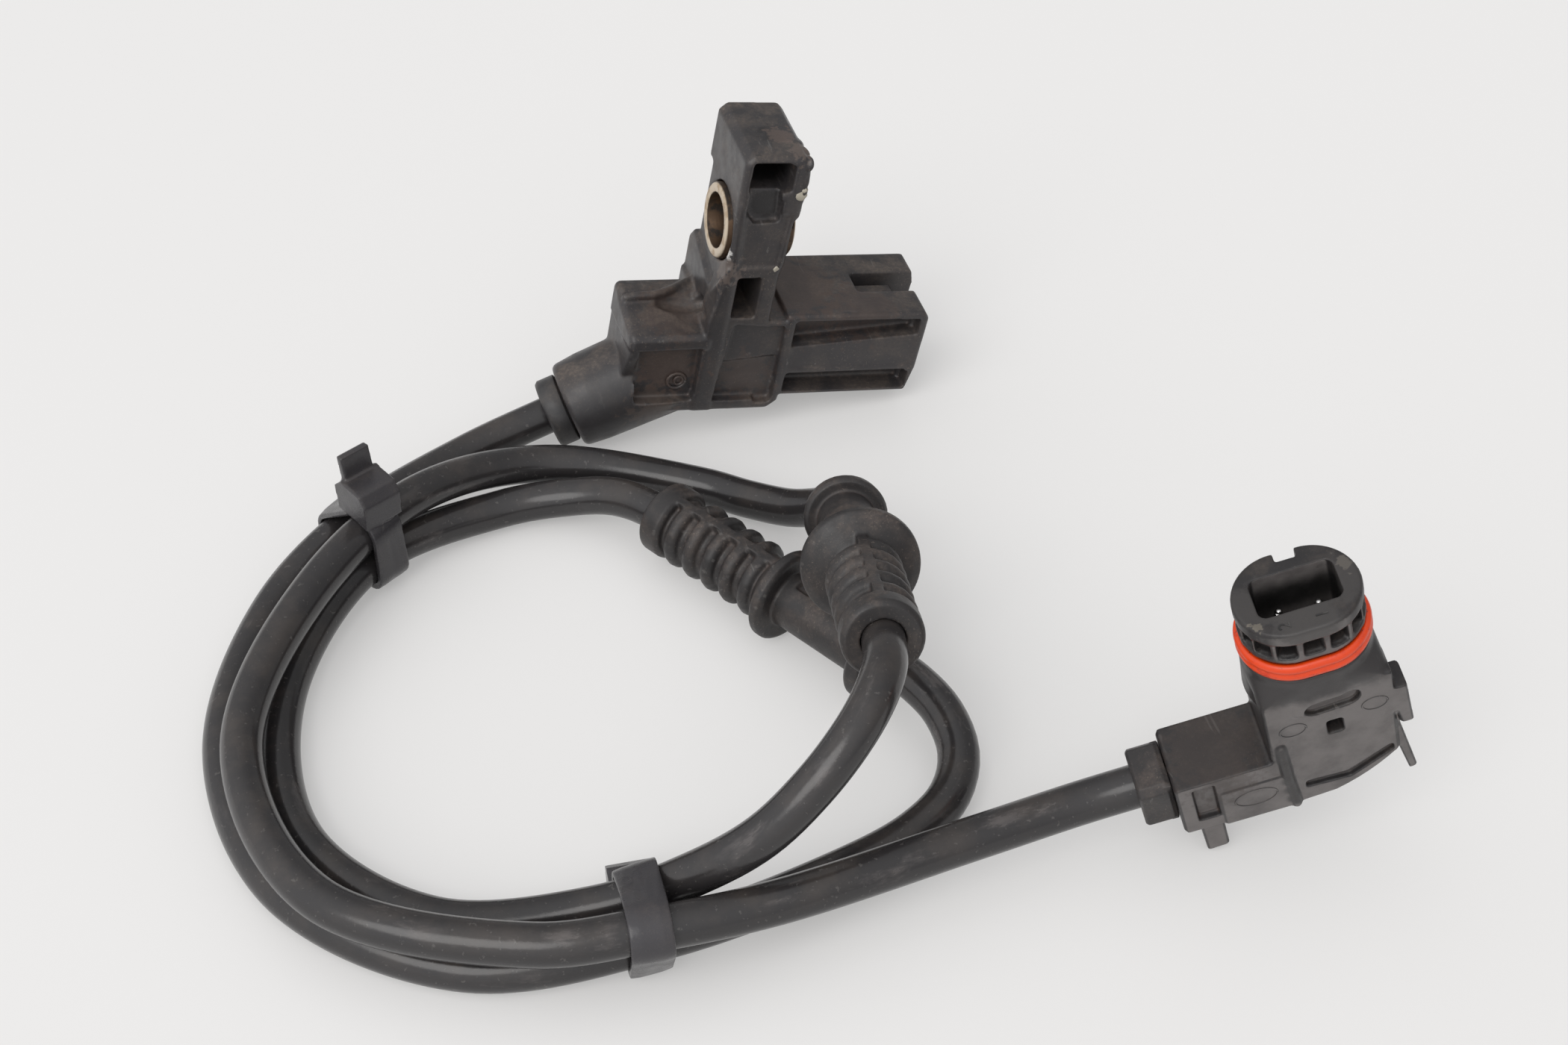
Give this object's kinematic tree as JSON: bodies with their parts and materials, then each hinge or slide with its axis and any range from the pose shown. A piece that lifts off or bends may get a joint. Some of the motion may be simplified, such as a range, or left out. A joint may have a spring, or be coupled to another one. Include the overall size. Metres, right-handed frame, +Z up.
{
  "type": "wheel speed sensor",
  "caption": "Anti-lock brake wheel speed sensor: angled moulded head with a bushed bolt lug, a tied ring of cable with ribbed rubber grommets, and an angled connector with an oval sealed plug.",
  "frame": {"origin": "on the table under the middle of the sensor head", "axes": "+X along the head towards its forked nose, +Y away from the cable ring, +Z up from the table the part lies on"},
  "size_m": [0.131, 0.1067, 0.0446],
  "materials": {
    "black_moulding": "used semi-gloss black moulding with grey-brown dust",
    "zinc_steel": "yellowed zinc plating, browned in the bore",
    "black_rubber": "dusty black rubber",
    "tinned_metal": "dull tinned metal",
    "cable_jacket": "smooth black jacket with scuffs",
    "black_nylon": "black nylon",
    "orange_seal": "bright orange silicone"
  },
  "bodies": {
    "root": {"sensor_housing": "black_moulding", "mounting_bushing": "zinc_steel", "cable_seal": "black_rubber", "chip_carrier": "black_moulding", "sensing_chip": "black_moulding", "chip_lead_1": "tinned_metal", "chip_lead_2": "tinned_metal", "cable": "cable_jacket", "lower_grommet": "black_rubber", "upper_grommet": "black_rubber", "cable_tie_1": "black_nylon", "cable_tie_2": "black_nylon", "connector_housing": "black_moulding", "terminal_1": "tinned_metal", "terminal_2": "tinned_metal", "cable_boot": "black_rubber", "plug_seal": "orange_seal"}
  },
  "joints": []
}
